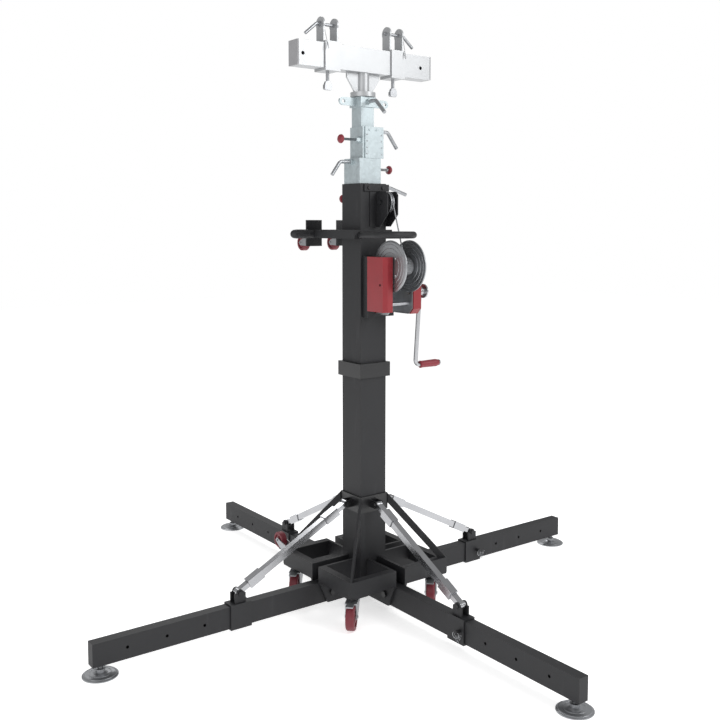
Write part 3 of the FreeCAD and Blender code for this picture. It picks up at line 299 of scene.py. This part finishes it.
def gloss_black(graph, colours):
    """Cast collars under a thin gloss coat."""
    cloud = graph.noise(18.0, 3.0)
    grain = graph.noise(600.0, 2.0)
    graph.finish(graph.mix(cloud, shade(colours.collar, 0.8), shade(colours.collar, 1.4)), 0.34 + cloud * 0.12,
                 grain, strength=0.15, coat=0.2)


def sheet_paint(graph, colours):
    """Gloss paint on pressed sheet, with a slow wave and small chips."""
    wave = graph.noise(22.0, 2.0)
    speck = graph.step(graph.noise(160.0, 4.0), 0.71, 0.74)
    paint = graph.mix(wave, shade(colours.cover, 0.86), shade(colours.cover, 1.12))
    graph.finish(graph.mix(speck * 0.7, paint, shade(colours.cover, 0.35)), 0.34 + wave * 0.1 + speck * 0.3,
                 wave - speck * 0.3, strength=0.12, distance=0.0006, coat=0.35)


def moulded_red(graph, colours):
    """Satin plastic with a fine mould grain."""
    grain = graph.noise(900.0, 2.0)
    slow = graph.noise(30.0)
    graph.finish(graph.mix(slow, shade(colours.grip, 0.85), shade(colours.grip, 1.15)), 0.38 + grain * 0.15,
                 grain, strength=0.15)


def moulded_grey(graph, colours):
    """Matt grey plastic."""
    grain = graph.noise(700.0, 3.0)
    slow = graph.noise(25.0)
    graph.finish(graph.mix(slow, shade(colours.plug, 0.88), shade(colours.plug, 1.12)), 0.5 + grain * 0.2, grain)


def tyre(graph, colours):
    """Rubber with floor dust and a turned grain."""
    grain = graph.noise(500.0, 3.0)
    dust = graph.step(graph.noise(45.0, 4.0), 0.5, 0.8)
    graph.finish(graph.mix(dust * 0.3, shade(colours.tyre, 1.0), (0.16, 0.13, 0.13, 1.0)),
                 0.42 + grain * 0.15 + dust * 0.15, grain, strength=0.2)


def zinc(graph, colours):
    """Plated steel: soft blotches, fine scratches and a satin shine."""
    blotch = graph.noise(38.0, 4.0)
    scratch = graph.noise(20.0, 3.0, graph.stretched((40.0, 4.0, 4.0)))
    graph.finish(graph.mix(blotch, shade(colours.zinc, 0.8), shade(colours.zinc, 1.2)),
                 0.26 + blotch * 0.14 + scratch * 0.08, scratch, metallic=0.9, strength=0.1)


def galvanised(graph, colours):
    """Hot-dip spangle: irregular crystals that differ a little in tone and shine."""
    spangle = graph.node("ShaderNodeTexVoronoi", {}, {"Vector": graph.place, "Scale": 85.0}, "Color")
    tone = graph.node("ShaderNodeSeparateColor", {}, {"Color": spangle}, "Red")
    rub = graph.noise(5.0, 3.0, graph.stretched((12.0, 12.0, 0.8)))
    graph.finish(graph.mix(tone * 0.45 + rub * 0.55, shade(colours.galvanised, 0.86), shade(colours.galvanised, 1.2)),
                 0.36 + tone * 0.12, rub + tone * 0.2, metallic=0.45, strength=0.08)


def mill_aluminium(graph, colours):
    """Extruded aluminium with long draw lines and a pale oxide."""
    line = graph.noise(30.0, 4.0, graph.stretched((1.0, 30.0, 30.0)))
    cloud = graph.noise(12.0, 3.0)
    graph.finish(graph.mix(line * 0.5 + cloud * 0.5, shade(colours.aluminium, 0.86), shade(colours.aluminium, 1.18)),
                 0.34 + line * 0.15, line, metallic=0.55, strength=0.12)


def chrome(graph, colours):
    """Polished plating, a little hazed along the tube."""
    haze = graph.noise(14.0, 4.0)
    wipe = graph.noise(60.0, 2.0)
    graph.finish(graph.mix(haze, shade(colours.chrome, 0.85), shade(colours.chrome, 1.15)),
                 0.12 + haze * 0.14 + wipe * 0.04, wipe, metallic=1.0, strength=0.05)


def steel_cable(graph, colours):
    """Twisted strands: a slanted wave along the cable."""
    strand = graph.node("ShaderNodeTexWave", {"bands_direction": "DIAGONAL"}, {"Vector": graph.place, "Scale": 260.0,
                                                                             "Distortion": 0.4})
    graph.finish(graph.mix(strand, shade(colours.zinc, 0.5), shade(colours.zinc, 1.35)), 0.3 + strand * 0.2,
                 strand, metallic=0.85, strength=0.5, distance=0.0006)


def brass(graph, colours):
    """Turned brass."""
    tarnish = graph.noise(120.0, 3.0)
    graph.finish(graph.mix(tarnish, shade(colours.brass, 0.7), shade(colours.brass, 1.2)), 0.28 + tarnish * 0.15,
                 tarnish, metallic=0.95, strength=0.1)


FINISHES = {"powder_coat": powder_coat, "gloss_black": gloss_black, "sheet_paint": sheet_paint,
            "moulded_red": moulded_red, "moulded_grey": moulded_grey, "tyre": tyre, "zinc": zinc,
            "galvanised": galvanised, "mill_aluminium": mill_aluminium, "chrome": chrome,
            "steel_cable": steel_cable, "brass": brass}
SLOT_FINISHES = {"black_steel": "powder_coat", "zinc": "zinc", "galvanised": "galvanised", "chrome": "chrome",
                 "aluminium": "mill_aluminium", "red_paint": "sheet_paint", "red_plastic": "moulded_red",
                 "grey_plastic": "moulded_grey", "wheel_red": "tyre"}


NODE_FINISHES = {"winch_cable": "steel_cable", "mast_collars": "gloss_black", "mast_fasteners": "gloss_black"}


def material(name):
    """A finish by name, made when it is first asked for."""
    made = bpy.data.materials.get("finish_" + name)
    if made is None:
        made = bpy.data.materials.new("finish_" + name)
        FINISHES[name](Graph(made), bpy.context.scene.stand_colours)
    return made


# --- operators ----------------------------------------------------------------------------


class StandOperator:
    bl_options = {"REGISTER"}

    def execute(self, context):
        self.make(context.scene.stand_sizes)
        return {"FINISHED"}


def middle(node):
    low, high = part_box(node)
    return (np.array(low) + np.array(high)) / 2


class STAND_OT_node_finishes(StandOperator, bpy.types.Operator):
    """Gives every CAD node its finish"""
    bl_idname = "stand.node_finishes"
    bl_label = "Node finishes"

    def make(self, sizes):
        for subpart in frame["record"]["subparts"]:
            node = subpart["node"]
            name = NODE_FINISHES.get(node) or SLOT_FINISHES[subpart["material_slot"]]
            data = frame["nodes"][node].data
            data.materials.clear()
            data.materials.append(material(name))


class STAND_OT_drum_windings(StandOperator, bpy.types.Operator):
    """Winds the cable on the drum's core and rolls the flanges' edges"""
    bl_idname = "stand.drum_windings"
    bl_label = "Drum windings"

    def make(self, sizes):
        low, high = (np.array(corner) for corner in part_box("winch_drum"))
        centre = (low + high) / 2
        outer = (high[2] - low[2]) / 2
        span = sizes.turns * sizes.cable * 2.1
        angle = np.linspace(0, 2 * np.pi * sizes.turns, sizes.turns * 36)
        radius = sizes.core + sizes.cable * 0.9
        path = np.column_stack([centre[0] - span / 2 + span * angle / angle[-1],
                                centre[1] + radius * np.cos(angle), centre[2] + radius * np.sin(angle)])
        wire_piece("cable_windings", path, sizes.cable, "winch_drum", "steel_cable")
        half = FLANGE_HALF
        for side, sign in (("left", -1), ("right", 1)):
            edge = centre + np.array([sign * (half - 0.0035), 0, 0])
            path = ring_path(edge, outer - sizes.rim * 0.8, (1, 0, 0), 96)
            wire_piece("flange_rim_" + side, path, sizes.rim, "winch_drum", "zinc", closed=True, sides=12)
            for number, where in enumerate(FLANGE_BEADS):
                inner = half - 0.0040 - 0.003 * (0.089 - where) / 0.049
                for face, depth in (("outer", half), ("inner", inner)):
                    path = ring_path(centre + np.array([sign * depth, 0, 0]), where, (1, 0, 0), 72)
                    wire_piece("flange_bead_%s_%s_%d" % (side, face, number), path, 0.0010, "winch_drum", "chrome",
                               closed=True)
            for count in range(4):
                turn = math.pi / 4 + math.pi / 2 * count
                spot = centre + np.array([sign * half, BOLT_CIRCLE * math.cos(turn),
                                          BOLT_CIRCLE * math.sin(turn)])
                turned_piece("flange_bolt_%s_%d" % (side, count), dome(0.005, 0.003), spot, (sign, 0, 0),
                             "winch_drum", "zinc", 16)


class STAND_OT_foot_threads(StandOperator, bpy.types.Operator):
    """Cuts a thread round each foot's spindle and presses rings into its disc"""
    bl_idname = "stand.foot_threads"
    bl_label = "Foot threads"

    def make(self, sizes):
        for side in QUARTERS:
            low, high = (np.array(corner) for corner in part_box("foot_" + side))
            centre = (low + high) / 2
            centre[2] = low[2]
            along = np.linspace(*FOOT_THREAD, 34)
            radius = 0.0083 + 0.0008 * np.sin(2 * np.pi * along / 0.0022)
            turned_piece("foot_thread_" + side, np.column_stack([radius, along]), centre, (0, 0, 1),
                         "foot_" + side, "powder_coat", 24)
            for number, (where, height) in enumerate(((0.052, 0.0062), (0.036, 0.0086))):
                path = ring_path(centre + np.array([0, 0, height]), where, (0, 0, 1), 64)
                wire_piece("foot_ring_%s_%d" % (side, number), path, 0.0011, "foot_" + side, "zinc", closed=True)


class STAND_OT_collar_rings(StandOperator, bpy.types.Operator):
    """Hangs a ring and a short chain from each collar's pull pin"""
    bl_idname = "stand.collar_rings"
    bl_label = "Collar rings"

    def make(self, sizes):
        for side, (x, y) in QUARTERS.items():
            out = np.array([x, y, 0.0])
            across = np.array([y, -x, 0.0])
            low, high = (np.array(corner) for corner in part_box("leg_collar_" + side))
            centre = (low + high) / 2
            head = out * (abs(centre @ out) + 0.020) + across * 0.0425
            head[2] = 0.078
            ring = ring_path(head - np.array([0, 0, sizes.ring * 0.7]), sizes.ring, across + 0.25 * out, 40)
            wire_piece("pin_ring_" + side, ring, sizes.wire, "leg_collar_" + side, "zinc", closed=True)
            for link in range(7):
                spot = head + out * 0.004 * link + across * 0.001 - np.array([0, 0, 0.030 - 0.0085 * abs(link - 3)])
                normal = across if link % 2 else out
                path = ring_path(spot, 0.0032, normal, 14, 1.5)
                wire_piece("pin_chain_%s_%d" % (side, link), path, sizes.wire * 0.7, "leg_collar_" + side, "zinc",
                           closed=True, sides=6)


class STAND_OT_plate_rivets(StandOperator, bpy.types.Operator):
    """Sets rivet heads in two columns on the third section's plate"""
    bl_idname = "stand.plate_rivets"
    bl_label = "Plate rivets"

    def make(self, sizes):
        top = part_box("section_3")[1][2]
        for column, x in enumerate((-0.022, 0.046)):
            for row in range(4):
                spot = (x, PLATE_FACE, top - 0.030 - 0.024 * row)
                turned_piece("plate_rivet_%d_%d" % (column, row), dome(sizes.rivet, sizes.rivet * 0.6), spot,
                             (0, -1, 0), "section_3", "zinc", 14)


class STAND_OT_safety_wires(StandOperator, bpy.types.Operator):
    """Hangs a thin wire from each truss pin to its sleeve, and threads the wing screws"""
    bl_idname = "stand.safety_wires"
    bl_label = "Safety wires"

    def make(self, sizes):
        for side, way in (("left", -1), ("right", 1)):
            low, high = (np.array(corner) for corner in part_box("truss_sleeve_" + side))
            centre = (low + high) / 2
            start = np.array([centre[0] + way * 0.030, -0.0275, high[2] - 0.050])
            end = np.array([centre[0] + way * 0.024, -0.038, low[2] + 0.100])
            share = np.linspace(0, 1, 40)[:, None]
            path = start + (end - start) * share
            path[:, 2] -= 0.045 * np.sin(np.pi * share[:, 0])
            path[:, 1] -= 0.014 * np.sin(np.pi * share[:, 0])
            wire_piece("safety_wire_" + side, path, sizes.wire * 0.8, "truss_sleeve_" + side, "steel_cable")
            along = np.linspace(0.033, 0.060, 70)
            radius = 0.0062 + 0.0006 * np.sin(2 * np.pi * along / 0.0018)
            base = middle("wing_screw_" + side)
            base[2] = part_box("wing_screw_" + side)[0][2]
            turned_piece("wing_thread_" + side, np.column_stack([radius, along]), base, (0, 0, 1),
                         "wing_screw_" + side, "zinc", 20)


class STAND_OT_winch_screw(StandOperator, bpy.types.Operator):
    """Puts the brass screw on the winch's back plate"""
    bl_idname = "stand.winch_screw"
    bl_label = "Winch screw"

    def make(self, sizes):
        turned_piece("brass_screw", dome(0.0072, 0.006), BRASS_SPOT, (0, -1, 0), "stand", "brass", 24)


class STAND_OT_hub_caps(StandOperator, bpy.types.Operator):
    """Closes the casters' hubs with plated caps and grooves their tyres"""
    bl_idname = "stand.hub_caps"
    bl_label = "Hub caps"

    def make(self, sizes):
        for number in range(1, 5):
            name = "caster_wheel_%d" % number
            centre = middle(name)
            axis = CASTER_AXIS
            for sign in (-1, 1):
                turned_piece("hub_cap_%d_%d" % (number, sign + 1),
                             [(0.0105, 0), (0.0105, 0.001), (0.0085, 0.0016), (0.0060, 0.0016)],
                             centre + axis * sign * CAP_FROM_CENTRE, axis * sign, name, "zinc", 28)
            for groove in (-0.007, 0.007):
                path = ring_path(centre + axis * groove, TYRE_RADIUS, axis, 72)
                wire_piece("tyre_line_%d_%d" % (number, int(groove * 1000) + 10), path, 0.0007, name, "tyre",
                           closed=True, sides=6)


class STAND_OT_lock_knobs(StandOperator, bpy.types.Operator):
    """Stands a plated shaft and a red mushroom cap in for each lock knob"""
    bl_idname = "stand.lock_knobs"
    bl_label = "Lock knobs"

    def make(self, sizes):
        for name, axis in (("lock_knob_mast", (0, 1, 0)), ("lock_knob_section_2", (1, 0, 0)),
                           ("lock_knob_section_3", (-1, 0, 0))):
            axis = np.array(axis, float)
            low, high = (np.array(corner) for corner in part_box(name))
            reach = abs((high - low) @ axis)
            wide = (high - low).min() / 2
            nose = (low + high) / 2 - axis * reach / 2
            shaft = turned_piece(name + "_shaft", [(0.0040, 0), (0.0050, 0.0015), (0.0050, reach - 0.022),
                                                   (0.0080, reach - 0.021), (0.0080, reach - 0.015)],
                                 nose, axis, name, "chrome", 28)
            cap = turned_piece(name + "_cap", [(wide * 0.55, reach - 0.0165), (wide * 0.92, reach - 0.0140),
                                               (wide, reach - 0.0105), (wide * 0.96, reach - 0.0060),
                                               (wide * 0.78, reach - 0.0025), (wide * 0.42, reach - 0.0006),
                                               (0.001, reach)], nose, axis, name, "moulded_red", 40)
            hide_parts(name)


class STAND_OT_bar_sleeves(StandOperator, bpy.types.Operator):
    """Pulls ribbed rubber sleeves over the ends of the rear bar"""
    bl_idname = "stand.bar_sleeves"
    bl_label = "Bar sleeves"

    def make(self, sizes):
        low, high = (np.array(corner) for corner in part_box("handle_frame"))
        for side, sign in (("left", -1), ("right", 1)):
            along = np.linspace(0, 0.058, 150)
            radius = 0.0174 + 0.0006 * np.clip(np.sin(2 * np.pi * along / 0.0058) * 2, -1, 1)
            spot = (sign * (high[0] - 0.078), 0.221, 1.438)
            turned_piece("bar_sleeve_" + side, np.column_stack([radius, along]), spot, (sign, 0, 0), "stand",
                         "powder_coat", 40)


class STAND_OT_stage(StandOperator, bpy.types.Operator):
    """Sets the floor, the lights and the camera"""
    bl_idname = "stand.stage"
    bl_label = "Stage"

    def make(self, sizes):
        scene = bpy.context.scene
        self.sweep()
        world = bpy.data.worlds.new("soft_room")
        world.use_nodes = True
        tree = world.node_tree
        room = tree.nodes["Background"]
        room.inputs["Color"].default_value = (1.0, 1.0, 1.0, 1.0)
        room.inputs["Strength"].default_value = 0.48
        seen = tree.nodes.new("ShaderNodeBackground")
        seen.inputs["Color"].default_value = (1.0, 1.0, 1.0, 1.0)
        seen.inputs["Strength"].default_value = 1.0
        mixed = tree.nodes.new("ShaderNodeMixShader")
        rays = tree.nodes.new("ShaderNodeLightPath")
        tree.links.new(rays.outputs["Is Camera Ray"], mixed.inputs["Fac"])
        tree.links.new(room.outputs["Background"], mixed.inputs[1])
        tree.links.new(seen.outputs["Background"], mixed.inputs[2])
        tree.links.new(mixed.outputs["Shader"], tree.nodes["World Output"].inputs["Surface"])
        scene.world = world
        self.lamp("key", (1.8, -3.6, 3.4), 2.2, sizes.light)
        self.lamp("fill", (-3.4, -1.6, 2.2), 2.6, sizes.light * 0.35)
        self.lamp("back", (1.0, 3.2, 3.6), 2.2, sizes.light * 0.6)
        scene.view_settings.view_transform = "Standard"
        lens = bpy.data.cameras.new("camera")
        lens.sensor_width = 36.0
        lens.lens = CAMERA_LENS
        lens.shift_x, lens.shift_y = CAMERA_SHIFT
        lens.clip_end = 60.0
        camera = bpy.data.objects.new("camera", lens)
        camera.location = CAMERA_PLACE
        camera.rotation_euler = [math.radians(angle) for angle in CAMERA_TURN]
        scene.collection.objects.link(camera)
        scene.camera = camera

    def sweep(self):
        mesh = bpy.data.meshes.new("floor")
        half = FLOOR_HALF
        mesh.from_pydata([(-half, -half, 0), (half, -half, 0), (half, half, 0), (-half, half, 0)], [], [(0, 1, 2, 3)])
        floor = bpy.data.objects.new("floor", mesh)
        bpy.context.scene.collection.objects.link(floor)
        paper = bpy.data.materials.new("floor_paper")
        paper.use_nodes = True
        shader = paper.node_tree.nodes["Principled BSDF"]
        shader.inputs["Base Color"].default_value = (0.93, 0.93, 0.93, 1.0)
        shader.inputs["Roughness"].default_value = 0.9
        shader.inputs["Emission Color"].default_value = (1.0, 1.0, 1.0, 1.0)
        shader.inputs["Emission Strength"].default_value = 0.58
        mesh.materials.append(paper)

    def lamp(self, name, where, side, power):
        light = bpy.data.lights.new(name, "AREA")
        light.shape = "SQUARE"
        light.size = side
        light.energy = power
        made = bpy.data.objects.new(name, light)
        made.location = where
        aim = np.array([0.0, 0.0, 1.0]) - np.array(where)
        made.rotation_euler = (math.atan2(math.hypot(aim[0], aim[1]), -aim[2]), 0,
                               math.atan2(aim[1], aim[0]) - math.pi / 2)
        bpy.context.scene.collection.objects.link(made)


PIECE_OPERATORS = (STAND_OT_node_finishes, STAND_OT_drum_windings, STAND_OT_foot_threads, STAND_OT_collar_rings,
                   STAND_OT_plate_rivets, STAND_OT_safety_wires, STAND_OT_winch_screw, STAND_OT_hub_caps,
                   STAND_OT_lock_knobs, STAND_OT_bar_sleeves, STAND_OT_stage)


class STAND_PT_panel(bpy.types.Panel):
    """Lists the sizes, the colours and the operators"""
    bl_idname = "STAND_PT_panel"
    bl_label = "Crank lighting stand"
    bl_space_type = "VIEW_3D"
    bl_region_type = "UI"
    bl_category = "Stand"

    def draw(self, context):
        for group in (context.scene.stand_sizes, context.scene.stand_colours):
            for name in group.__annotations__:
                self.layout.prop(group, name)
        for operator in PIECE_OPERATORS:
            self.layout.operator(operator.bl_idname)


CLASSES = (StandColours, StandSizes) + PIECE_OPERATORS + (STAND_PT_panel,)


def register():
    for item in CLASSES:
        bpy.utils.register_class(item)
    bpy.types.Scene.stand_colours = bpy.props.PointerProperty(type=StandColours)
    bpy.types.Scene.stand_sizes = bpy.props.PointerProperty(type=StandSizes)


def unregister():
    del bpy.types.Scene.stand_colours
    del bpy.types.Scene.stand_sizes
    for item in reversed(CLASSES):
        bpy.utils.unregister_class(item)


def main():
    register()
    for operator in PIECE_OPERATORS:
        group, name = operator.bl_idname.split(".")
        getattr(getattr(bpy.ops, group), name)()


if __name__ == "__main__":
    main()
